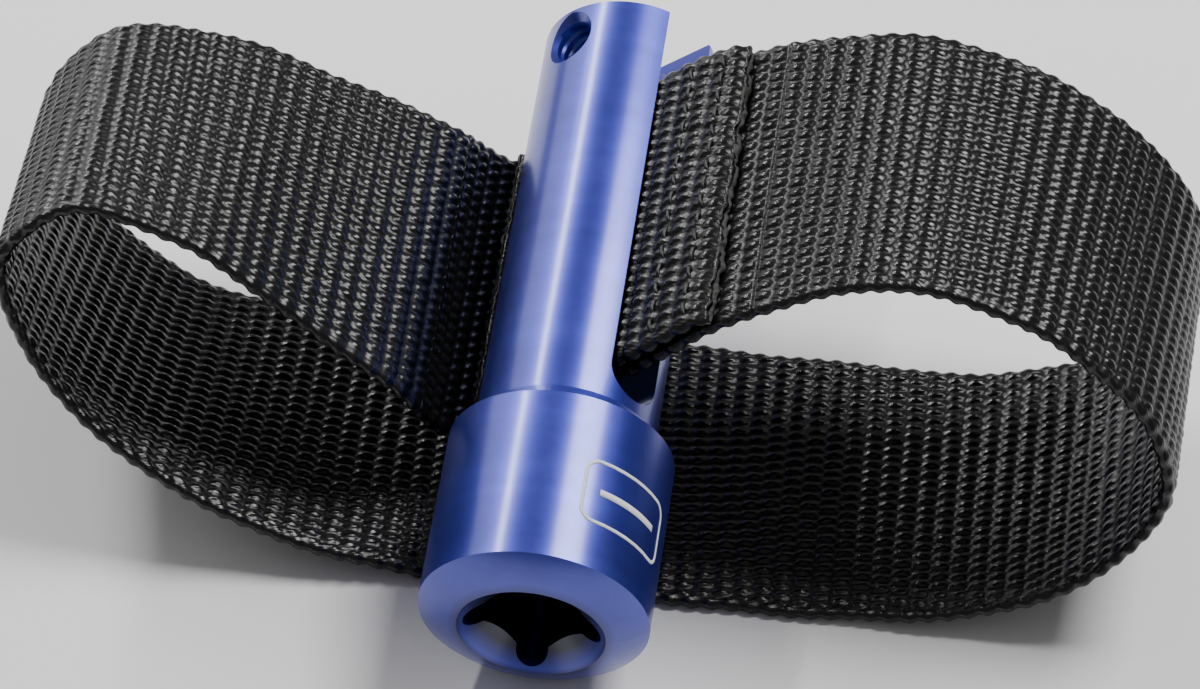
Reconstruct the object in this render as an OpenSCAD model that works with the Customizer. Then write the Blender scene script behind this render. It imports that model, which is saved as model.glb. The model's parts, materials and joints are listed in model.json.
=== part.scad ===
// Strap wrench for oil filters.
// A turned and milled handle takes a square drive at one end. A closed loop of nylon
// webbing passes once through the long slot in its shank, and winds tight round a filter
// when the handle is turned. Everything is drawn as it lies on a bench: the handle rests on
// the edge of its collar and on the strap, so it is tipped up by rest_tilt.
// Handle frame: the handle's axis is Y, with the drive face at Y = 0 and the tip at +Y.

/* [Handle] */
// Overall length of the handle, drive face to tip
handle_len = 101.6; // [98:0.1:106]
// Diameter of the collar round the drive socket
collar_d = 31.75; // [31:0.05:32]
// Length of the collar up to the start of its shoulder
collar_len = 29; // [26:0.5:30]
// Diameter of the slotted shank
shank_d = 25.4; // [25:0.1:25.6]
// How far the domed drive face falls back at the rim
nose_depth = 2.7; // [1.5:0.1:4]
// Width of the chamfer round the tip
tip_chamfer = 0.4; // [0.2:0.1:1]
// Angle that the handle is tipped up by as it lies
rest_tilt = 10; // [8:0.5:12]

/* [Drive socket] */
// Width across the flats of the square
drive_w = 12.7; // [12.6:0.05:12.9]
// Depth of the broached square
drive_depth = 17.5; // [14:0.5:20]
// Depth of the drilled pilot below the square, point included
pilot_depth = 23; // [21:0.5:26]
// Diameter of the countersunk mouth
mouth_d = 20.4; // [19.5:0.1:21]
// Depth of the countersink to the middle of the flats
mouth_depth = 3; // [2:0.1:4]
// Diameter of the relief drilled at each corner
relief_d = 4.4; // [4:0.1:5]
// Distance of each relief from the axis
relief_at = 7.25; // [7:0.05:7.5]

/* [Slot] */
// Width of the slot for the webbing
slot_w = 9; // [8.5:0.1:10]
// Centre of the slot's round closed end, from the drive face
slot_start = 38.4; // [38:0.1:38.8]
// Angle of the slot above the horizontal
slot_angle = 44; // [42:0.5:46]

/* [Screw hole] */
// Distance of the screw hole from the tip
hole_from_tip = 5.5; // [5.3:0.1:6.5]
// Diameter of the hole at the crests of its thread
hole_d = 6.6; // [6:0.1:7]
// Length of the countersunk mouth along the shank, on both tines
hole_mouth_d = 9.2; // [8:0.1:9.6]
// Diameter of the countersink on the slot side of the rear tine
inner_mouth_d = 9.6; // [8:0.1:9.8]

/* [Webbing] */
// Width of the webbing
web_w = 50.8; // [50:0.1:51]
// Thickness of the webbing
web_t = 2.3; // [2:0.1:2.4]
// Length of the doubler past the slot on the right
flap_right = 14.5; // [12:0.5:16]
// Length of the doubler past the slot on the left
flap_left = 7; // [6:0.5:8]
// Diameter of the sewing thread
thread_d = 0.5; // [0.4:0.05:0.7]

/* [Hidden] */
$fn = 96;

collar_r = collar_d / 2;
shank_r = shank_d / 2;
mouth_r = mouth_d / 2;
shoulder_y = collar_len + collar_r - shank_r;
hole_y = handle_len - hole_from_tip;
anodised = [0.10, 0.13, 0.48];
nylon = [0.06, 0.06, 0.065];
nylon_cut = [0.30, 0.31, 0.30];
thread = [0.10, 0.10, 0.11];

// Dome of the drive face, as an arc in the turned profile.
dome_steps = 14;
dome_bulge = 0.35;
function dome(k) = let (f = k / dome_steps)
    [mouth_r + f * (collar_r - mouth_r), f * nose_depth - 4 * dome_bulge * f * (1 - f)];

// The webbing's mid-surface is carried by crosswise lines, each from the edge near the drive
// end to the far edge, as they lie on the bench. The first and last lines are in the slot.
web_n = 0.5;
slot_u = shank_r;
near_right = 38.8;
near_left = 36.4;
skew = atan((near_right - near_left) / (2 * slot_u));
web_y = web_w / cos(skew);
floor_z = -15.2;
lie = floor_z + web_t / 2;

function rest(p) = [p[0],
    p[1] * cos(rest_tilt) - p[2] * sin(rest_tilt),
    p[1] * sin(rest_tilt) + p[2] * cos(rest_tilt)];
function in_slot(u, n) = [u * cos(slot_angle) - n * sin(slot_angle),
    u * sin(slot_angle) + n * cos(slot_angle)];
function slot_point(u, n, y) = rest([in_slot(u, n)[0], y, in_slot(u, n)[1]]);
function slot_line(u, n, y) = [slot_point(u, n, y), slot_point(u, n, y + web_y)];

// The strap leaves the slot on the left round the front tine's lower edge.
turn_r = 5.5;
turn_c = in_slot(-slot_u, web_n + turn_r);
function turn_line(a, y) = let (x = turn_c[0] + turn_r * cos(a), z = turn_c[1] + turn_r * sin(a))
    [rest([x, y, z]), rest([x, y + web_y, z])];

lines_right = [
    slot_line(slot_u, web_n, near_right),
    [[26.5, 36, 31], [26.5, 86.5, 36]],
    [[42.5, 35.5, 38], [44.5, 86, 40]],
    [[57.5, 34.5, 36.5], [61.5, 85, 36]],
    [[70, 33.5, 30], [75.5, 83.5, 28]],
    [[79.5, 32, 21], [84.5, 82, 17]],
    [[83, 30, 10.5], [86, 80.5, 4.5]],
    [[77, 27, -1], [78, 77.5, -7]],
    [[61, 24, -10.5], [61, 74.5, -13]],
    [[38.5, 22.5, lie], [37.5, 73.5, lie]]];
lines_lower = [
    [[12.5, 21.5, lie], [11, 72.5, lie]],
    [[-14, 20, lie], [-16, 70.5, lie]]];
lines_left = [
    [[-38.5, 19, -8.5], [-40.5, 69, -13.5]],
    [[-59, 20.5, 1.5], [-61.5, 70, -9.5]],
    [[-74, 25, 15.5], [-77, 74, 2]],
    [[-78, 29.5, 28.5], [-82.5, 78.5, 15]],
    [[-70, 32.5, 35.5], [-75, 82, 24.5]],
    [[-54.5, 33, 32], [-59, 83.5, 26]],
    [[-38.5, 32.5, 21], [-41, 83, 21]],
    [[-22.5, 32.5, 8], [-23.5, 83, 14]],
    turn_line(213, 35.2),
    turn_line(247, 35.8),
    turn_line(280, 36.1),
    slot_line(-slot_u, web_n, near_left)];
lines = concat(lines_right, lines_lower, lines_left);
last_line = len(lines) - 1;
first_loop = 1;
lower_from = 9;
lower_to = 12;
last_loop = 19;

// A smooth curve through the lines, with tangents weighted by the gaps between them.
function gap(i) = norm(lines[i + 1][0] - lines[i][0]);
slot_dir = rest([cos(slot_angle), (near_right - near_left) / (2 * slot_u), sin(slot_angle)]);
function slope(i, e) = i == 0 || i == last_line ? slot_dir
    : let (a = gap(i - 1), b = gap(i))
    ((lines[i + 1][e] - lines[i][e]) / b * a + (lines[i][e] - lines[i - 1][e]) / a * b) / (a + b);
function hermite(p, m, q, n, h, f) = p * (2 * f * f * f - 3 * f * f + 1)
    + m * h * (f * f * f - 2 * f * f + f)
    + q * (3 * f * f - 2 * f * f * f) + n * h * (f * f * f - f * f);
function web_point(s, e) = let (i = min(floor(s), last_line - 1), f = s - i)
    hermite(lines[i][e], slope(i, e), lines[i + 1][e], slope(i + 1, e), gap(i), f);
ds = 0.01;
function tangent(s, e) = s == 0 || s == last_line ? slot_dir
    : web_point(min(s + ds, last_line), e) - web_point(max(s - ds, 0), e);
function unit(v) = v / norm(v);
// The outward side is the one that faces up on both upper runs.
function outward(s, e) = unit(cross(tangent(s, e), web_point(s, 1) - web_point(s, 0)));
function web_offset(s, e, off) = web_point(s, e) + outward(s, e) * off;

// A band of webbing from line a to line b, between the offsets lo and hi from mid-surface.
module band(a, b, lo, hi, steps, t0 = 0, t1 = 1) {
    pts = [for (k = [0:steps]) let (s = a + (b - a) * k / steps,
        nl = web_offset(s, 0, lo), nh = web_offset(s, 0, hi),
        fh = web_offset(s, 1, hi), fl = web_offset(s, 1, lo))
        each [nl + (fl - nl) * t0, nh + (fh - nh) * t0, nh + (fh - nh) * t1, nl + (fl - nl) * t1]];
    sides = [for (k = [0:steps - 1]) for (j = [0:3]) let (p = 4 * k + j, q = 4 * k + (j + 1) % 4)
        each [[p, q + 4, q], [p, p + 4, q + 4]]];
    m = 4 * steps;
    ends = [[0, 2, 3], [0, 1, 2], [m, m + 2, m + 1], [m, m + 3, m + 2]];
    polyhedron(points = pts, faces = concat(sides, ends), convexity = 8);
}

module at_rest() {
    rotate([rest_tilt, 0, 0])
        children();
}

// Turns the slot's own frame, X across the shank and Z through the tines, into the handle's.
module slot_frame() {
    rotate([0, -slot_angle, 0])
        children();
}

module turned_blank() {
    rotate([-90, 0, 0])
        rotate_extrude()
            polygon(concat([[0, 0]], [for (k = [0:dome_steps]) dome(k)],
                [[collar_r, collar_len], [shank_r, shoulder_y],
                [shank_r, handle_len - tip_chamfer], [shank_r - tip_chamfer, handle_len],
                [0, handle_len]]));
}

module drive_socket() {
    cone_r = drive_w / 2;
    cone_top = mouth_r + 2 * (mouth_r - cone_r) / mouth_depth;
    rotate([-90, 0, 0]) {
        translate([0, 0, -2])
            cylinder(h = mouth_depth + 2, r1 = cone_top, r2 = cone_r);
        cylinder(h = pilot_depth - 3, r = drive_w / 2 - 0.05);
        translate([0, 0, pilot_depth - 3.01])
            cylinder(h = 3, r1 = drive_w / 2 - 0.05, r2 = 0.5);
        rotate([0, 0, 45])
            translate([-drive_w / 2, -drive_w / 2, 0])
                cube([drive_w, drive_w, drive_depth]);
        for (a = [0:90:270])
            rotate([0, 0, a])
                translate([relief_at, 0, 0])
                    cylinder(h = drive_depth, r = relief_d / 2);
    }
}

module slot_cut() {
    slot_frame() {
        translate([-collar_d, slot_start, -slot_w / 2])
            cube([2 * collar_d, handle_len, slot_w]);
        translate([0, slot_start, 0])
            rotate([0, 90, 0])
                cylinder(h = 2 * collar_d, r = slot_w / 2, center = true);
    }
}

module screw_hole() {
    sink = (hole_mouth_d - hole_d) / 2;
    inner_sink = (inner_mouth_d - hole_d) / 2;
    slot_frame()
        translate([0, hole_y, 0]) {
            cylinder(h = 2 * shank_d, r = hole_d / 2, center = true);
            for (m = [0, 1])
                mirror([0, 0, m])
                    translate([0, 0, shank_r - sink])
                        cylinder(h = sink + 3, r1 = hole_d / 2, r2 = hole_d / 2 + sink + 3);
            translate([0, 0, -slot_w / 2 - inner_sink])
                cylinder(h = inner_sink + 1, r1 = hole_d / 2, r2 = hole_d / 2 + inner_sink + 1);
        }
}

module wrench_body() {
    color(anodised)
        at_rest()
            difference() {
                turned_blank();
                drive_socket();
                slot_cut();
                screw_hole();
            }
}

// The flat run of a layer through the slot, its middle n above the slot's centre.
module slot_layer(n) {
    at_rest()
        slot_frame()
            translate([0, 0, n - web_t / 2])
                linear_extrude(web_t)
                    polygon([[-slot_u, near_left], [slot_u, near_right],
                        [slot_u, near_right + web_y], [-slot_u, near_left + web_y]]);
}

module strap_in_slot() {
    color(nylon)
        slot_layer(web_n);
}

module doubler_in_slot() {
    color(nylon)
        slot_layer(web_n + web_t);
}

// The doubler lies on the strap with a hair of room, so that the two stay separate solids.
under = web_t / 2 + 0.02;
flap_to = flap_right / gap(0);
left_to = last_line - 1.7;
end_step = 0.02;

module strap_lead_right() {
    color(nylon)
        band(0, first_loop, -web_t / 2, web_t / 2, 10);
}

module strap_lead_left() {
    color(nylon)
        band(last_loop, last_line, -web_t / 2, web_t / 2, 30);
}

module doubler_flap_right() {
    color(nylon)
        band(0, flap_to - end_step, under, 1.5 * web_t, 8);
}

module doubler_flap_left() {
    color(nylon)
        band(left_to + 2 * end_step, last_line, under, 1.5 * web_t, 16);
}

module melted_end_right() {
    color(nylon_cut)
        band(flap_to - end_step, flap_to, under, 1.5 * web_t, 1);
}

module melted_end_left() {
    color(nylon_cut)
        band(left_to, left_to + 2 * end_step, under, 1.5 * web_t, 1);
}

// A row of lock stitches across the webbing, on top of the doubler.
stitches = 12;
module stitch_row(s, width) {
    color(thread)
        for (k = [0:stitches - 1])
            band(s, s + width, 1.5 * web_t + 0.01, 1.5 * web_t + thread_d, 1,
                (k + 0.65) / (stitches + 0.5), (k + 1.35) / (stitches + 0.5));
}

module stitch_row_outer() {
    stitch_row(flap_to - 0.16, 0.03);
}

module stitch_row_inner() {
    stitch_row(0.18, 0.03);
}

module stitch_row_left() {
    stitch_row(left_to + 0.3, 0.1);
}

module strap_lobe_right() {
    color(nylon)
        band(first_loop, lower_from, -web_t / 2, web_t / 2, 48);
}

module strap_lower() {
    color(nylon)
        band(lower_from, lower_to, -web_t / 2, web_t / 2, 12);
}

module strap_lobe_left() {
    color(nylon)
        band(lower_to, last_loop, -web_t / 2, web_t / 2, 42);
}

wrench_body();
strap_in_slot();
doubler_in_slot();
strap_lead_right();
strap_lead_left();
doubler_flap_right();
doubler_flap_left();
melted_end_right();
melted_end_left();
stitch_row_outer();
stitch_row_inner();
stitch_row_left();
strap_lobe_right();
strap_lower();
strap_lobe_left();
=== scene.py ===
"""Strap wrench for oil filters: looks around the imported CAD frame.

The handle is the CAD node with an anodised material. Every webbing, doubler, melted end and stitch
node is replaced by a mesh that follows the same centre surface as part.scad. The lights and the
camera are placed in metres.
"""

import json
from math import cos, pi, radians, sin

import bpy
import numpy as np
from mathutils import Matrix, Vector

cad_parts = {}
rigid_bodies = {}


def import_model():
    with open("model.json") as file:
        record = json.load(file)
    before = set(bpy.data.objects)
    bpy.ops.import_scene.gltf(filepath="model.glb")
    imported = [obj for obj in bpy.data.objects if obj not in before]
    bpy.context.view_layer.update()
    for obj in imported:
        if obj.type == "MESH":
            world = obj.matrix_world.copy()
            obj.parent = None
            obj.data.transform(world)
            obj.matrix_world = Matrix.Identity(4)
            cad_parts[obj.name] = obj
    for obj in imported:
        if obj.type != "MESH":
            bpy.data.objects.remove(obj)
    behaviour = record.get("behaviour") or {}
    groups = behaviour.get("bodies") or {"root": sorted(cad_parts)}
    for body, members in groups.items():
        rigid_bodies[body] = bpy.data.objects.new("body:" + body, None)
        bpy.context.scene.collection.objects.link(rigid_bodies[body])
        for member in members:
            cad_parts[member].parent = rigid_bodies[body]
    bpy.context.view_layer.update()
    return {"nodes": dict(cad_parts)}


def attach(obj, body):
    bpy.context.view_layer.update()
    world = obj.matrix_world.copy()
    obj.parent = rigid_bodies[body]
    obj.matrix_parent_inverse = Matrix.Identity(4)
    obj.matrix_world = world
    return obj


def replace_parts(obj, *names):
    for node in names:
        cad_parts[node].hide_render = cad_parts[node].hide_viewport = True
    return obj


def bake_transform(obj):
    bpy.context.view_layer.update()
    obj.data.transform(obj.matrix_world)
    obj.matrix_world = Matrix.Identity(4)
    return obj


# Blender's start-up scene may hold a cube, a light and a camera, which aren't part of this one.
for stray in list(bpy.data.objects):
    bpy.data.objects.remove(stray)
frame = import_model()

MM = 0.001
TILT = radians(10)                      # the handle's axis, up from the bench
SLOT = radians(44)                      # the slot's plane, up from the bench, round the handle's axis
SHANK_R, COLLAR_R = 12.7, 15.875
HOLE_Y = 96.1                           # the screw hole's place along the handle
WEB_W, WEB_T = 50.8, 2.3
WEB_N = 0.5                             # the webbing's centre, off the slot's middle plane
NEAR_RIGHT, NEAR_LEFT = 38.8, 36.4      # where the near edge crosses the shank's two sides
SKEW = np.arctan((NEAR_RIGHT - NEAR_LEFT) / (2 * SHANK_R))
WEB_Y = WEB_W / cos(SKEW)               # the webbing's width along the handle, as it crosses askew
LIE = -15.2 + WEB_T / 2                 # the centre height of the strand that lies on the bench
FLOOR_Z = -15.32                        # the stage's floor, just under the collar
FIRST_LOOP, LAST_LOOP, LAST = 1, 19, 23  # lines between which the strap is the loop, and the last line
FLAP_RIGHT, LEFT_TO = 14.5, LAST - 1.7  # the doubler's ends: a length on the right, a line on the left

# ---------------------------------------------------------------- the strap's centre surface


def rest(p):
    """A point of the handle's own frame, as it lies on the bench."""
    p = np.asarray(p, float)
    return np.stack([p[..., 0], p[..., 1] * cos(TILT) - p[..., 2] * sin(TILT),
                     p[..., 1] * sin(TILT) + p[..., 2] * cos(TILT)], -1)


def in_slot(u, n):
    """x and z in the handle's frame, from u along the slot's plane and n along its normal."""
    return u * cos(SLOT) - n * sin(SLOT), u * sin(SLOT) + n * cos(SLOT)


def slot_line(u, n, y):
    """A line across the strap, from its near edge at y to its far edge."""
    x, z = in_slot(u, n)
    return [rest([x, y, z]), rest([x, y + WEB_Y, z])]


TURN_R = 5.5
TURN_C = in_slot(-SHANK_R, WEB_N + TURN_R)


def turn_line(angle, y):
    """A line across the strap where it bends round by the slot's left mouth."""
    x = TURN_C[0] + TURN_R * cos(radians(angle))
    z = TURN_C[1] + TURN_R * sin(radians(angle))
    return [rest([x, y, z]), rest([x, y + WEB_Y, z])]


# Lines across the strap, near edge and far edge, the same as in part.scad.
LINES = np.array([[list(a), list(b)] for a, b in [
    slot_line(SHANK_R, WEB_N, NEAR_RIGHT),
    [[26.5, 36, 31], [26.5, 86.5, 36]],
    [[42.5, 35.5, 38], [44.5, 86, 40]],
    [[57.5, 34.5, 36.5], [61.5, 85, 36]],
    [[70, 33.5, 30], [75.5, 83.5, 28]],
    [[79.5, 32, 21], [84.5, 82, 17]],
    [[83, 30, 10.5], [86, 80.5, 4.5]],
    [[77, 27, -1], [78, 77.5, -7]],
    [[61, 24, -10.5], [61, 74.5, -13]],
    [[38.5, 22.5, LIE], [37.5, 73.5, LIE]],
    [[12.5, 21.5, LIE], [11, 72.5, LIE]],
    [[-14, 20, LIE], [-16, 70.5, LIE]],
    [[-38.5, 19, -8.5], [-40.5, 69, -13.5]],
    [[-59, 20.5, 1.5], [-61.5, 70, -9.5]],
    [[-74, 25, 15.5], [-77, 74, 2]],
    [[-78, 29.5, 28.5], [-82.5, 78.5, 15]],
    [[-70, 32.5, 35.5], [-75, 82, 24.5]],
    [[-54.5, 33, 32], [-59, 83.5, 26]],
    [[-38.5, 32.5, 21], [-41, 83, 21]],
    [[-22.5, 32.5, 8], [-23.5, 83, 14]],
    turn_line(213, 35.2),
    turn_line(247, 35.8),
    turn_line(280, 36.1),
    slot_line(-SHANK_R, WEB_N, NEAR_LEFT)]], float)
GAPS = np.linalg.norm(LINES[1:, 0] - LINES[:-1, 0], axis=1)
SLOT_DIR = rest([cos(SLOT), (NEAR_RIGHT - NEAR_LEFT) / (2 * SHANK_R), sin(SLOT)])
SLOPES = np.zeros_like(LINES)
SLOPES[0] = SLOPES[LAST] = SLOT_DIR
for i in range(1, LAST):
    before, after = GAPS[i - 1], GAPS[i]
    SLOPES[i] = ((LINES[i + 1] - LINES[i]) / after * before
                 + (LINES[i] - LINES[i - 1]) / before * after) / (before + after)


def unit(v):
    return v / np.linalg.norm(v, axis=-1, keepdims=True)


def line_point(s, edge):
    """The near (0) or far (1) edge of the centre surface at line s."""
    s = np.asarray(s, float)
    i = np.clip(np.floor(s).astype(int), 0, LAST - 1)
    f = (s - i)[..., None]
    h = GAPS[i][..., None]
    return (LINES[i, edge] * (2 * f**3 - 3 * f**2 + 1) + SLOPES[i, edge] * h * (f**3 - 2 * f**2 + f)
            + LINES[i + 1, edge] * (3 * f**2 - 2 * f**3) + SLOPES[i + 1, edge] * h * (f**3 - f**2))


FINE = np.linspace(0, LAST, 1000 * LAST + 1)
MIDDLE = (line_point(FINE, 0) + line_point(FINE, 1)) / 2
ARC = np.concatenate([[0], np.cumsum(np.linalg.norm(np.diff(MIDDLE, axis=0), axis=1))])
TOTAL = ARC[-1]


def arc_of(s):
    """The distance along the strap at line s."""
    return float(np.interp(s, FINE, ARC))


def edge_at(arc, edge):
    """An edge at a distance along the strap; before 0 and after TOTAL it runs straight in the slot."""
    inside = np.clip(arc, 0, TOTAL)
    return line_point(np.interp(inside, ARC, FINE), edge) + (arc - inside)[..., None] * unit(SLOT_DIR)


def normal_at(arc, edge):
    """The centre surface's outward normal at one of its edges, from a short step along it."""
    step = 0.15
    along = edge_at(arc + step, edge) - edge_at(arc - step, edge)
    return unit(np.cross(along, edge_at(arc, 1) - edge_at(arc, 0)))


def surface(arc, across, off):
    """A point `off` outward of the centre surface; across is 0 at the near edge and 1 at the far one."""
    near, far = edge_at(arc, 0), edge_at(arc, 1)
    across, off = across[..., None], off[..., None]
    n = unit(normal_at(arc, 0) * (1 - across) + normal_at(arc, 1) * across)
    return near * (1 - across) + far * across + n * off


# ---------------------------------------------------------------- mesh helpers


def new_mesh(name, points, faces, material, smooth=True, uv=None, **layers):
    """A mesh from points in millimetres and arrays of faces, with a UV and float attributes per point."""
    me = bpy.data.meshes.new(name)
    points = np.asarray(points, float) * MM
    faces = [np.asarray(f, np.int32) for f in faces]
    me.vertices.add(len(points))
    me.vertices.foreach_set("co", points.astype(np.float32).ravel())
    loops = np.concatenate([f.ravel() for f in faces])
    sizes = np.concatenate([np.full(len(f), f.shape[1], np.int32) for f in faces])
    me.loops.add(len(loops))
    me.loops.foreach_set("vertex_index", loops)
    me.polygons.add(len(sizes))
    starts = np.concatenate([[0], np.cumsum(sizes)[:-1]]).astype(np.int32)
    me.polygons.foreach_set("loop_start", starts)
    me.polygons.foreach_set("use_smooth", np.full(len(sizes), smooth))
    for key, values in layers.items():
        layer = me.attributes.new(key, "FLOAT", "POINT")
        layer.data.foreach_set("value", np.asarray(values, np.float32).ravel())
    if uv is not None:
        me.uv_layers.new(name="UVMap").data.foreach_set("uv", np.asarray(uv, np.float32)[loops].ravel())
    me.update(calc_edges=True)
    me.validate()
    me.materials.append(material)
    obj = bpy.data.objects.new(name, me)
    bpy.context.scene.collection.objects.link(obj)
    return obj


def grid_faces(rows, ring):
    """Quads of a tube of rows x ring points, each row closed on itself."""
    r, c = np.meshgrid(np.arange(rows - 1), np.arange(ring), indexing="ij")
    n = (c + 1) % ring
    return np.stack([r * ring + c, r * ring + n, (r + 1) * ring + n, (r + 1) * ring + c], -1).reshape(-1, 4)


def fans(rows, ring):
    """Triangles that close both ends of such a tube on two more points, added after its own."""
    k = np.arange(ring)
    n = (k + 1) % ring
    tip, base = rows * ring, (rows - 1) * ring
    return np.concatenate([np.stack([np.full(ring, tip), n, k], -1),
                           np.stack([np.full(ring, tip + 1), base + k, base + n], -1)])


# ---------------------------------------------------------------- materials


def grey(v):
    return (v, v, v * 1.03)


class Shader:
    """A new material, with short ways to add nodes to it. Most of them give the new node's output."""

    def __init__(self, name):
        self.material = bpy.data.materials.new(name)
        self.material.use_nodes = True
        self.tree = self.material.node_tree
        self.bsdf = self.tree.nodes["Principled BSDF"]

    def link(self, source, target):
        self.tree.links.new(source, target)

    def node(self, kind, source=None, target=0, **settings):
        """A node fed by source, with inputs set by name, or properties where it has no such input."""
        n = self.tree.nodes.new(kind)
        for key, value in settings.items():
            socket = key.replace("_", " ")
            if socket in n.inputs:
                n.inputs[socket].default_value = value
            else:
                setattr(n, key, value)
        if source is not None:
            self.link(source, n.inputs[target])
        return n

    def mapping(self, source, **settings):
        return self.node("ShaderNodeMapping", source, **settings).outputs[0]

    def noise(self, source, **settings):
        return self.node("ShaderNodeTexNoise", source, "Vector", **settings).outputs[0]

    def attribute(self, name):
        return self.node("ShaderNodeAttribute", attribute_name=name).outputs["Fac"]

    def ramp(self, source, *stops):
        """A colour ramp through (position, colour) stops."""
        n = self.node("ShaderNodeValToRGB", source)
        first, last = n.color_ramp.elements
        for element, (position, colour) in ((first, stops[0]), (last, stops[-1])):
            element.position, element.color = position, (*colour, 1)
        for position, colour in stops[1:-1]:
            n.color_ramp.elements.new(position).color = (*colour, 1)
        return n.outputs[0]

    def span(self, source, low, high, to_low=0.0, to_high=1.0):
        """The source between low and high, moved to between to_low and to_high and clamped."""
        n = self.node("ShaderNodeMapRange", source, "Value", From_Min=low, From_Max=high,
                      To_Min=to_low, To_Max=to_high)
        return n.outputs[0]

    def maths(self, operation, a, b):
        n = self.node("ShaderNodeMath", a, operation=operation)
        self.link(b, n.inputs[1])
        return n.outputs[0]

    def multiply(self, a, b):
        """Two colours multiplied."""
        n = self.node("ShaderNodeMix", data_type="RGBA", blend_type="MULTIPLY")
        n.inputs["Factor"].default_value = 1.0
        self.link(a, n.inputs[6])
        self.link(b, n.inputs[7])
        return n.outputs[2]

    def bump(self, height, strength, distance):
        n = self.node("ShaderNodeBump", height, "Height", Strength=strength, Distance=distance * MM)
        self.link(n.outputs[0], self.bsdf.inputs["Normal"])

    def finish(self, colour, roughness, **constants):
        """Link the colour and the roughness, set the other shader inputs, and give the material."""
        self.link(colour, self.bsdf.inputs["Base Color"])
        self.link(roughness, self.bsdf.inputs["Roughness"])
        for key, value in constants.items():
            self.bsdf.inputs[key.replace("_", " ")].default_value = value
        return self.material


def nylon(name, low, high, crest_rough, valley_rough):
    """Woven nylon: painted shade in the grooves and lighter crests from the relief, duller grooves, plies
    twisted round each yarn, uneven dye.
    """
    twist = (0, 0, radians(24))
    s = Shader(name)
    relief = s.attribute("relief")
    coord = s.node("ShaderNodeUVMap").outputs[0]
    wave = s.node("ShaderNodeTexWave", s.mapping(coord, Rotation=twist), "Vector", Scale=0.62,
                  Distortion=1.6, Detail=2.0, Detail_Scale=1.4, bands_direction="Y")
    plies = wave.outputs["Fac"]
    strands = s.noise(s.mapping(coord, Scale=(1.5, 9.0, 1.0), Rotation=twist),
                      Scale=1.0, Detail=4.0, Roughness=0.65)
    cloud = s.noise(coord, Scale=0.09, Detail=2.0)

    # The colour follows the relief: painted shade, near black, in the grooves and lighter crests.
    tone = s.ramp(relief, (0.0, grey(low * 0.25)), (0.45, grey(low)), (1.0, grey(high)))
    blotchy = s.ramp(cloud, (0.3, (0.72, 0.72, 0.72)), (0.7, (1.15, 1.15, 1.15)))
    per_yarn = s.ramp(s.attribute("yarn"), (0.0, (0.7, 0.7, 0.7)), (1.0, (1.25, 1.25, 1.22)))
    sheltered = s.maths("SUBTRACT", strands, relief)
    s.bump(s.maths("ADD", plies, strands), 0.3, 0.06)
    return s.finish(s.multiply(s.multiply(tone, blotchy), per_yarn),
                    s.span(sheltered, -0.6, 0.5, crest_rough, valley_rough),
                    Specular_IOR_Level=0.45)


def anodised(name):
    """Blue anodised aluminium: fine turning marks round the handle, uneven dye, soft handling marks, and
    painted shade in the square socket and on the end face.
    """
    shade_full_r, shade_gone_r = 9.2, 9.8          # from the axis: the painted shade in the socket is full, then gone
    shade_full_y, shade_gone_y = (2.0, 24), (0.3, 26)  # the same from the end face, at its two ends
    # Over the end face the colour is halved, a painted shade that fades out by side_y.
    face_y, side_y, face_shade = 0.05, 0.40, 0.5
    s = Shader(name)
    coord = s.node("ShaderNodeTexCoord").outputs["Object"]
    level = s.mapping(coord, vector_type="POINT", Rotation=(-TILT, 0, 0))
    marks = s.noise(s.mapping(level, Scale=(12, 2600, 12)), Scale=1.0, Detail=3.0, Roughness=0.7)
    bands = s.noise(s.mapping(level, Scale=(30, 380, 30)), Scale=1.0, Detail=2.0)
    patch = s.noise(level, Scale=90.0, Detail=4.0, Roughness=0.6)
    scuff = s.noise(level, Scale=900.0, Detail=6.0, Roughness=0.75)
    dye = s.ramp(patch, (0.3, (0.027, 0.036, 0.33)), (0.7, (0.040, 0.052, 0.43)))
    banded = s.ramp(bands, (0.25, (0.86, 0.86, 0.88)), (0.75, (1.16, 1.14, 1.10)))

    # The square drive gets painted shade: its colour goes near black near the axis, to past the socket's
    # floor.
    across = s.node("ShaderNodeVectorMath", level, operation="MULTIPLY")
    across.inputs[1].default_value = (1, 0, 1)
    from_axis = s.node("ShaderNodeVectorMath", across.outputs[0], operation="LENGTH").outputs["Value"]
    depth = s.node("ShaderNodeSeparateXYZ", level).outputs["Y"]
    near_axis = s.span(from_axis, shade_gone_r * MM, shade_full_r * MM)
    behind_face = s.span(depth, shade_gone_y[0] * MM, shade_full_y[0] * MM)
    before_end = s.span(depth, shade_gone_y[1] * MM, shade_full_y[1] * MM)
    socket_shade = s.maths("MULTIPLY", s.maths("MULTIPLY", near_axis, behind_face), before_end)
    socket_shaded = s.node("ShaderNodeMix", socket_shade, "Factor", data_type="RGBA")
    s.link(s.multiply(dye, banded), socket_shaded.inputs[6])
    socket_shaded.inputs[7].default_value = (0.006, 0.007, 0.03, 1)
    # The end face's colour is halved against the turned sides: painted shade.
    shaded = s.node("ShaderNodeVectorMath", socket_shaded.outputs[2], operation="SCALE")
    s.link(s.span(depth, face_y * MM, side_y * MM, face_shade), shaded.inputs["Scale"])

    s.bump(marks, 0.16, 0.02)
    return s.finish(shaded.outputs[0], s.span(scuff, 0, 1, 0.29, 0.46), Metallic=0.78,
                    Coat_Weight=0.7, Coat_Roughness=0.20, Coat_IOR=1.7)


def mottled(name, dark, light, scale, rough, bump_mm):
    """An uneven matt finish in object space: melted nylon, thread or printed ink."""
    s = Shader(name)
    blot = s.noise(s.node("ShaderNodeTexCoord").outputs["Object"], Scale=scale, Detail=6.0, Roughness=0.7)
    s.bump(blot, 0.6, bump_mm)
    return s.finish(s.ramp(blot, (0.34, dark), (0.66, light)),
                    s.span(blot, 0, 1, rough - 0.12, rough + 0.12))


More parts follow.
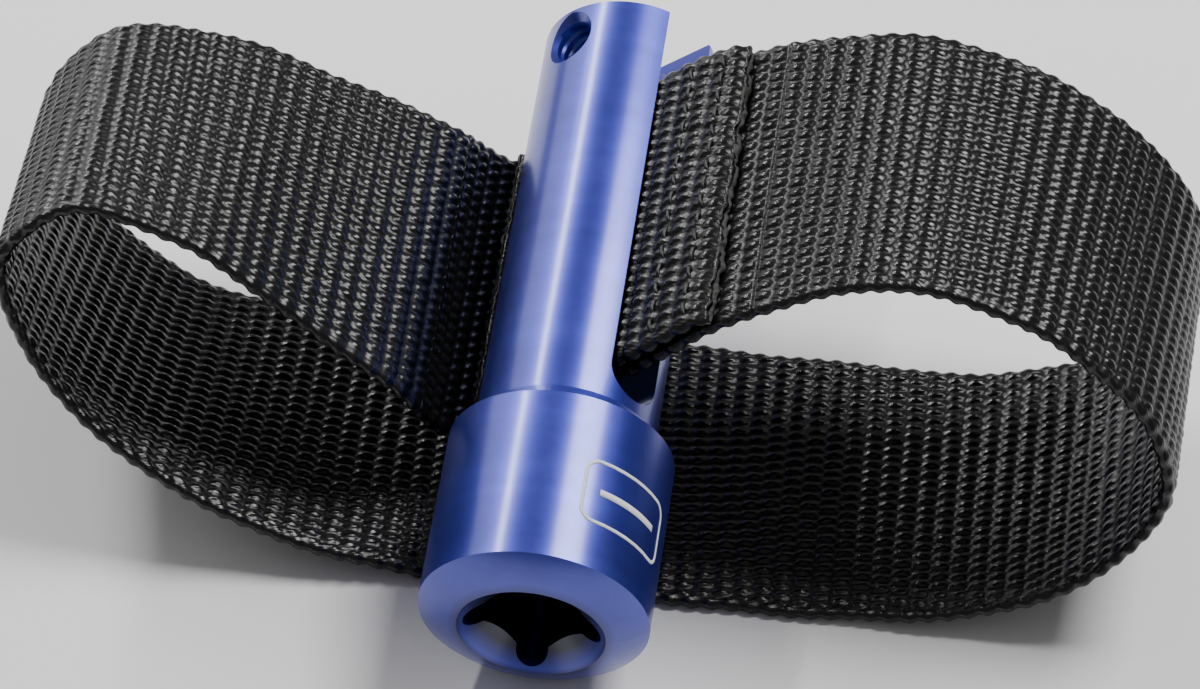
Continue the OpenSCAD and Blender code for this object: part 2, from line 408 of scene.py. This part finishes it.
WEBBING = nylon("webbing", 0.0022, 0.0060, 0.16, 0.40)
MELTED = mottled("melted_nylon_mat", (0.007, 0.007, 0.0065), (0.034, 0.036, 0.032), 1900, 0.62, 0.12)
THREAD = mottled("thread_mat", (0.004, 0.004, 0.0045), (0.012, 0.012, 0.013), 2600, 0.42, 0.08)
INK = mottled("ink_mat", (0.72, 0.73, 0.76), (0.86, 0.87, 0.89), 1400, 0.45, 0.01)
BLUE = anodised("anodised_mat")

handle = frame["nodes"]["wrench_body"]
for k in range(len(handle.data.materials)):
    handle.data.materials[k] = BLUE

# ---------------------------------------------------------------- the woven webbing

PITCH, ROW = 2.8, 1.86                  # a knuckle's length along the strap, and its width
CREST, VALLEY = 1.25, 0.60              # the face's height off the centre surface
EDGE_R = 0.9                            # the rolled selvedge
EDGE_FADE = 0.5                         # the woven relief fades this far inside the selvedge
PRESSED_OFF, PRESSED_THIN = 0.75, 0.60  # how far a cut end is pressed down, and the share that it thins
RAGGED_REACH, PRESSED_REACH = 4.0, 3.0  # how far from the cut these effects go
STEPS_PER_PITCH, POINTS_PER_ROW, TURN_POINTS = 7, 6, 6
FACES, COLUMNS, ROWS = 2, 400, 64       # the sizes of the tables of random numbers
FIRST_COLUMN, FIRST_ROW = 40, 20        # added so that columns and rows count from above 0
RNG = np.random.default_rng(11)
KNUCKLES = RNG.normal(size=(FACES, COLUMNS, ROWS))
LOOSE = RNG.normal(size=(FACES, COLUMNS, ROWS))


def knuckle(arc, across_mm, side):
    """How high a yarn stands at a place, 0 to 1, on the outer (0) or inner (1) face, and its own tone."""
    slant, looseness, unevenness, tone_spread = 0.16, 0.03, 0.05, 0.22
    x = arc / PITCH + 0.5 * side + FIRST_COLUMN
    col = np.floor(x).astype(int)
    u = x - col - 0.5
    # Each column is half a row off the last one and wanders a little, and its yarns slant.
    y = across_mm / ROW + 0.5 * col + 0.09 * np.sin(col * 0.21) * col / 6 + FIRST_ROW
    y = y - slant * u * (1 - 2 * side)
    row = np.floor(y).astype(int)
    v = y - row - 0.5 - looseness * LOOSE[side, col % COLUMNS, row % ROWS]
    wide = np.clip(1 - np.abs(2 * v)**2.2, 0, 1)**0.75
    long = np.clip(1 - np.abs(2 * u)**1.8, 0, 1)**0.85
    size = 1 + unevenness * KNUCKLES[side, col % COLUMNS, row % ROWS]
    # The tone takes another column's number, so that it doesn't follow the size.
    tone = 0.5 + tone_spread * KNUCKLES[side, (col + 7) % COLUMNS, row % ROWS]
    return wide * (0.2 + 0.8 * long) * size, tone


FLAT = WEB_W / 2 - EDGE_R               # half the width of the flat face, between the selvedges


def cross_section():
    """Points round the band as places across it and a rise from -1 to 1, and quads that close an end.

    They run over the outer face, the far selvedge, the inner face and the near selvedge.
    """
    face = np.linspace(-FLAT, FLAT, int(round(2 * FLAT / ROW * POINTS_PER_ROW)) + 1)
    turn = (np.arange(TURN_POINTS) + 0.5) / TURN_POINTS * pi
    bulge = FLAT + EDGE_R * np.sin(turn)
    side = np.concatenate([face, bulge, face[::-1], -bulge])
    rise = np.concatenate([np.ones_like(face), np.cos(turn), -np.ones_like(face), -np.cos(turn)])
    # The quads pair each outer point with the inner one under it.
    count, half = len(face), TURN_POINTS // 2
    top = np.arange(count)[::-1]
    bottom = 2 * count + TURN_POINTS - 1 - top
    far = count + np.arange(TURN_POINTS)
    near = 2 * count + TURN_POINTS + np.arange(TURN_POINTS)
    pair_a = np.concatenate([far[:half][::-1], top, near[::-1][:half]])
    pair_b = np.concatenate([far[half:], bottom, near[:half]])
    return side, rise, np.stack([pair_a[:-1], pair_a[1:], pair_b[1:], pair_b[:-1]], -1)


SIDE, RISE, END_QUADS = cross_section()
INNER_UV = 60                           # sets the inner face's texture apart from the outer one's


def ragged_edge(across, depth):
    """How far a hot-cut end runs in and out at each place across the strap."""
    return (np.sin(across * 0.42 + 1.1) + 0.7 * np.sin(across * 1.13 + 0.4)
            + 0.5 * np.sin(across * 2.9 + 2.0)) * depth / 2


def webbing(name, arc_from, arc_to, off=0.0, ragged=0.0, ragged_at_start=False):
    """A closed band of webbing between two distances along the strap, with yarns in relief on both faces.

    ragged moves the cut end in and out by that much across the width, and presses it flat.
    """
    steps = max(int(round((arc_to - arc_from) / PITCH * STEPS_PER_PITCH)), 6)
    a, v = np.meshgrid(np.linspace(arc_from, arc_to, steps + 1), SIDE, indexing="ij")
    rise = np.broadcast_to(RISE, a.shape)
    outer, yarn_outer = knuckle(a, v + WEB_W / 2, 0)
    inner, yarn_inner = knuckle(a, v + WEB_W / 2, 1)

    # The woven relief fades into the rolled selvedge, whose own loops stand out sideways.
    near_edge = np.clip((np.abs(v) - (FLAT - EDGE_FADE)) / EDGE_FADE, 0, 1)
    roll = 0.5 - 0.5 * np.cos(2 * pi * (a / PITCH + np.where(v > 0, 0.25, 0.0) + 0.1 * np.sign(rise)))
    woven = np.where(rise > 0, outer, inner)
    edge_height, edge_width = 0.72 + 0.22 * roll, 0.75 + 0.55 * roll
    z = rise * ((VALLEY + (CREST - VALLEY) * woven) * (1 - near_edge) + near_edge * edge_height)
    past = np.clip(np.abs(v) - FLAT, 0, None)
    v = np.sign(v) * (np.minimum(np.abs(v), FLAT) + past * edge_width)

    # The band is never quite even: a slow wander of its edges and a slight ripple of its face.
    outward = (np.abs(v) / (WEB_W / 2))**6 * np.sign(v)
    v = v * (1 + 0.0035 * np.sin(a * 0.11 + 1.0)) + 0.12 * np.sin(a * 0.37) * outward
    fade = np.sin(pi * np.clip((a - arc_from) / (arc_to - arc_from), 0, 1))
    ripple = 0.10 * np.sin(a * 0.23 + v * 0.05) * fade
    if ragged:
        end = arc_from if ragged_at_start else arc_to
        a = a + ragged_edge(SIDE, ragged) * np.clip(1 - np.abs(a - end) / RAGGED_REACH, 0, 1)**2
        pressed = np.clip(1 - np.abs(a - end) / PRESSED_REACH, 0, 1)**2
        z, off = z * (1 - PRESSED_THIN * pressed), off - PRESSED_OFF * pressed

    points = surface(a, (v + WEB_W / 2) / WEB_W, z + ripple + off)
    ring = len(SIDE)
    faces = [grid_faces(steps + 1, ring), END_QUADS[:, ::-1], END_QUADS + steps * ring]
    relief = woven * (1 - near_edge) + near_edge * (0.25 + 0.6 * roll)
    yarn = np.where(rise > 0, yarn_outer, yarn_inner)
    uv = np.stack([a.ravel(), (v + INNER_UV * (rise < 0)).ravel()], -1)
    obj = new_mesh(name, points.reshape(-1, 3), faces, WEBBING, uv=uv,
                   relief=np.clip(relief, 0, 1.2), yarn=yarn)
    return obj


def crossing(arc_fixed, arc_loop, way=None, rise=0.0):
    """Blend points that leave the line at arc_fixed with the slot, and the one at arc_loop with the loop.

    The whole of each line goes with its body. The blend runs along way, or else from line to line.
    rise lifts the fixed line off the centre surface.
    """
    across = np.linspace(0, 1, 9)
    fixed = surface(np.full_like(across, arc_fixed), across, np.full_like(across, rise))
    loop = surface(np.full_like(across, arc_loop), across, np.zeros_like(across))
    origin = fixed.mean(0)
    d = unit(loop.mean(0) - origin) if way is None else way
    return [tuple((origin + d * f((p - origin) @ d)) * MM) for f, p in ((max, fixed), (min, loop))]


ARC_R = PITCH * np.floor(arc_of(FIRST_LOOP) / PITCH)
ARC_L = PITCH * np.ceil(arc_of(LAST_LOOP) / PITCH)
HALF_SLOT = SHANK_R * float(np.linalg.norm(SLOT_DIR))
FLAP_R = arc_of(FLAP_RIGHT / GAPS[0])
FLAP_L = arc_of(LEFT_TO)
RAGGED_R, RAGGED_L = 0.5, 0.4
DOUBLER_OFF = 2.36
BEND_R = crossing(0.0, ARC_R)
# On the left the strap doubles back, so the blend runs square to the slot and nothing inside it moves.
BEND_L = crossing(TOTAL, ARC_L, rest([-sin(SLOT), 0, cos(SLOT)]), DOUBLER_OFF + CREST)

web_loop = webbing("web_loop", ARC_R, ARC_L)
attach(web_loop, "loop")
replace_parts(web_loop, "strap_lobe_right", "strap_lower", "strap_lobe_left")

web_right = webbing("web_right", -HALF_SLOT, ARC_R)
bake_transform(web_right)
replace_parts(web_right, "strap_in_slot", "strap_lead_right")

web_left = webbing("web_left", ARC_L, TOTAL + HALF_SLOT)
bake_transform(web_left)
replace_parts(web_left, "strap_lead_left")

doubler_right = webbing("doubler_right", -HALF_SLOT, FLAP_R, DOUBLER_OFF, ragged=RAGGED_R)
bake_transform(doubler_right)
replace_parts(doubler_right, "doubler_in_slot", "doubler_flap_right")

doubler_left = webbing("doubler_left", FLAP_L, TOTAL + HALF_SLOT, DOUBLER_OFF, ragged=RAGGED_L,
                       ragged_at_start=True)
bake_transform(doubler_left)
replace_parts(doubler_left, "doubler_flap_left")

# ---------------------------------------------------------------- melted ends and stitches


def melted_end(name, arc_end, ragged, seed, replaced, lean):
    """The lumpy bead left where the doubler was cut hot, swept across its width."""
    stations, ring = 240, 20
    half_along, half_tall, flattened = 0.34, 1.10, 0.46
    lumpy_along, lumpy_tall, lumpy_across = 0.09, 0.18, 0.06
    half_width = WEB_W / 2 + 0.1
    rng = np.random.default_rng(seed)
    v = np.linspace(-half_width, half_width, stations)
    angle = np.arange(ring) / ring * 2 * pi
    lump = rng.normal(size=(stations, ring))
    for _ in range(5):
        lump = (lump + np.roll(lump, 1, 0) + np.roll(lump, -1, 0)
                + np.roll(lump, 1, 1) + np.roll(lump, -1, 1)) / 5
    lump /= lump.std()
    taper = np.sqrt(np.clip(1 - (np.abs(v) / (WEB_W / 2 + 0.12))**40, 0.02, 1))[:, None]
    along = half_along * np.sign(np.cos(angle)) * np.abs(np.cos(angle))**0.8
    tall = half_tall * np.sign(np.sin(angle)) * np.abs(np.sin(angle))**0.6
    # The bead leans in over the doubler with height, and its foot stays on the cut.
    a = (arc_end + ragged_edge(v, ragged)[:, None] + (along[None] + lumpy_along * lump) * taper
         + lean * (tall[None] + half_tall))
    off = DOUBLER_OFF - PRESSED_OFF + (flattened * tall[None] * (1 + lumpy_tall * lump)) * taper
    across = np.repeat(v[:, None], ring, 1) + lumpy_across * np.roll(lump, 5, 1)
    points = surface(a, (across + WEB_W / 2) / WEB_W, off).reshape(-1, 3)
    tips = [points[:ring].mean(0), points[-ring:].mean(0)]
    faces = [grid_faces(stations, ring), fans(stations, ring)]
    obj = new_mesh(name, np.concatenate([points, tips]), faces, MELTED)
    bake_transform(obj)
    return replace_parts(obj, replaced)


melted_end("cut_end_right", FLAP_R, RAGGED_R, 3, "melted_end_right", -0.24)
melted_end("cut_end_left", FLAP_L, RAGGED_L, 5, "melted_end_left", 0.24)


def stitches(name, arc_row, replaced):
    """A row of lock stitches across the webbing: twisted thread that dips into it at both ends."""
    count, lean, radius = 15, 0.15, 0.27
    top, dip = 1.24, 1.0                # the thread's height over the doubler's centre, and its fall
    half_length = 0.46                  # half a stitch, as a share of its spacing
    sewn_width = WEB_W * 0.94
    spacing = sewn_width / count
    stations, ring = 13, 8
    angle = np.arange(ring) / ring * 2 * pi
    f = np.linspace(-1, 1, stations)
    height = DOUBLER_OFF + top - dip * np.abs(f)**3.5
    points, tubes, ends = [], [], []
    for k in range(count):
        v = -sewn_width / 2 + (k + 0.5) * spacing + f * spacing * half_length
        r = radius * (1 + 0.12 * np.sin(f[:, None] * 9 + 2 * angle[None]))
        a = arc_row + lean * f[:, None] * (1 if k % 2 else -1) + r * np.cos(angle)[None]
        across = np.repeat(((v + WEB_W / 2) / WEB_W)[:, None], ring, 1)
        p = surface(a, across, height[:, None] + r * np.sin(angle)[None]).reshape(-1, 3)
        start = k * (stations * ring + 2)
        points.append(np.concatenate([p, [p[:ring].mean(0), p[-ring:].mean(0)]]))
        tubes.append(grid_faces(stations, ring) + start)
        ends.append(fans(stations, ring) + start)
    obj = new_mesh(name, np.concatenate(points), [np.concatenate(tubes), np.concatenate(ends)], THREAD)
    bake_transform(obj)
    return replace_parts(obj, replaced)


stitches("stitches_outer", FLAP_R - 3.4, "stitch_row_outer")
stitches("stitches_inner", FLAP_R - 8.9, "stitch_row_inner")
stitches("stitches_left", FLAP_L + 3.0, "stitch_row_left")

# ---------------------------------------------------------------- details on the handle


def screw_thread(name, inner, outer):
    """Thread turns standing in from the bore, between two distances from the handle's axis."""
    pitch, bore, crest, root = 1.41, 3.34, 3.02, 3.42
    steps_per_turn = 48
    turns = (outer - inner) / pitch
    steps = int(turns * steps_per_turn)
    f = np.linspace(0, 1, steps + 1)
    angle = f * turns * 2 * pi
    fade = np.clip(np.minimum(f, 1 - f) * turns * 3, 0.05, 1)
    profile = [(bore, -0.52), (crest, -0.10), (crest, 0.10), (bore, 0.52), (root, 0.0)]
    rows = []
    for r, h in profile:
        radius = bore - (bore - r) * fade if r < bore else np.full_like(f, r)
        height = inner + f * (outer - inner) + h
        x, z = in_slot(radius * np.cos(angle), height)
        rows.append(rest(np.stack([x, HOLE_Y + radius * np.sin(angle), z], -1)))
    points = np.stack(rows, 1).reshape(-1, 3)
    n = len(profile)
    caps = np.array([range(n - 1, -1, -1), range(steps * n, steps * n + n)])
    obj = new_mesh(name, points, [grid_faces(steps + 1, n), caps], BLUE, smooth=False)
    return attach(obj, "handle")


screw_thread("thread_turns_front", 5.2, 11.4)
screw_thread("thread_turns_rear", -11.2, -6.6)


def on_collar(along, round_mm):
    """Points just proud of the collar, along the handle and round it from the mark's middle."""
    mark_y, middle, proud = 14.6, radians(45), 0.03
    a = middle + round_mm / COLLAR_R
    r = COLLAR_R + proud
    return rest(np.stack([r * np.cos(a), mark_y + along, r * np.sin(a)], -1))


def rounded_frame(half_w, half_l, corner):
    """A rectangle with round corners, as closely spaced points on the collar."""
    corner_steps, between = 8, 6
    inset = np.array([half_w - corner, half_l - corner])
    outline = []
    for sign, start in (((1, 1), 0), ((-1, 1), 90), ((-1, -1), 180), ((1, -1), 270)):
        for k in range(corner_steps + 1):
            t = radians(start + 90 * k / corner_steps)
            outline.append(sign * inset + corner * np.array([cos(t), sin(t)]))
    outline = np.array(outline)
    step = np.roll(outline, -1, 0) - outline
    dense = (outline[:, None] + step[:, None] * np.arange(between)[None, :, None] / between).reshape(-1, 2)
    return on_collar(dense[:, 1], dense[:, 0])


def ribbon(outer, inner, closed, start):
    """The points and quads of a flat ribbon between two lines of points."""
    count = len(outer)
    k = np.arange(count if closed else count - 1)
    m = (k + 1) % count
    quads = start + np.stack([2 * k, 2 * k + 1, 2 * m + 1, 2 * m], -1)
    return np.stack([outer, inner], 1).reshape(-1, 3), quads


def printed_mark(name):
    """A plain generic mark printed on the collar: a rounded frame round one bar."""
    half_w, half_l, line, corner, bar_w, bar_l, ink = 7.8, 5.0, 0.5, 2.2, 1.0, 10.4, 0.05
    frame_points, frame_quads = ribbon(rounded_frame(half_w, half_l, corner),
                                       rounded_frame(half_w - line, half_l - line, corner - line), True, 0)
    bar = np.linspace(-bar_l / 2, bar_l / 2, 24)
    half_bar = np.full_like(bar, bar_w / 2)
    bar_points, bar_quads = ribbon(on_collar(half_bar, bar), on_collar(-half_bar, bar),
                                   False, len(frame_points))
    mark = new_mesh(name, np.concatenate([frame_points, bar_points]), [frame_quads, bar_quads], INK)
    thick = mark.modifiers.new("thick", "SOLIDIFY")
    thick.thickness = ink * MM
    thick.offset = 0
    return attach(mark, "handle")


printed_mark("printed_mark")

# ---------------------------------------------------------------- floor, lights and camera


def pale_floor():
    """A plain pale floor just under the collar. The lowest strand sinks half a millimetre into it."""
    half = 3000
    s = Shader("floor_mat")
    speck = s.node("ShaderNodeTexNoise", Scale=60.0, Detail=3.0).outputs[0]
    pale = s.ramp(speck, (0.3, (0.88, 0.88, 0.88)), (0.7, (0.92, 0.92, 0.92)))
    s.link(pale, s.bsdf.inputs["Base Color"])
    s.bsdf.inputs["Roughness"].default_value = 0.9
    s.bsdf.inputs["Specular IOR Level"].default_value = 0.2
    corners = [[-half, -half, 0], [half, -half, 0], [half, half, 0], [-half, half, 0]]
    floor = new_mesh("floor", corners, [[[0, 1, 2, 3]]], s.material, smooth=False)
    floor.location.z = FLOOR_Z * MM


pale_floor()

world = bpy.data.worlds.new("studio")
bpy.context.scene.world = world
world.use_nodes = True
world.node_tree.nodes["Background"].inputs[0].default_value = (1.0, 0.97, 0.97, 1)
world.node_tree.nodes["Background"].inputs[1].default_value = 0.22


def softbox(name, at, across, along, power):
    """A rectangular light that faces the handle; along is its length in the handle's direction."""
    centre = Vector((0, 0.05, 0))
    light = bpy.data.lights.new(name, "AREA")
    light.shape = "RECTANGLE"
    light.size, light.size_y = across, along
    light.energy = power
    obj = bpy.data.objects.new(name, light)
    bpy.context.scene.collection.objects.link(obj)
    away = (Vector(at) - centre).normalized()
    side = Vector((0, 1, 0)).cross(away).normalized()
    obj.matrix_world = Matrix((side, away.cross(side), away)).transposed().to_4x4()
    obj.location = at


# The key and the left wall give the broad bands of light on the handle, and the streak light the thin one.
softbox("key_light", (0.31, 0.28, 0.72), 0.34, 0.34, 6.5)
softbox("streak_light", (-0.40, 0.40, 0.51), 0.022, 0.6, 3.2)
softbox("left_wall", (-0.62, 0.55, 0.36), 0.42, 0.7, 1.5)

camera = bpy.data.objects.new("camera", bpy.data.cameras.new("camera"))
bpy.context.scene.collection.objects.link(camera)
camera.location = (0.03631, -0.37953, 0.43095)
camera.rotation_euler = (radians(45.352), radians(-3.016), radians(7.474))
camera.data.sensor_width = 36
camera.data.lens = 128
camera.data.clip_start = 0.01
bpy.context.scene.camera = camera
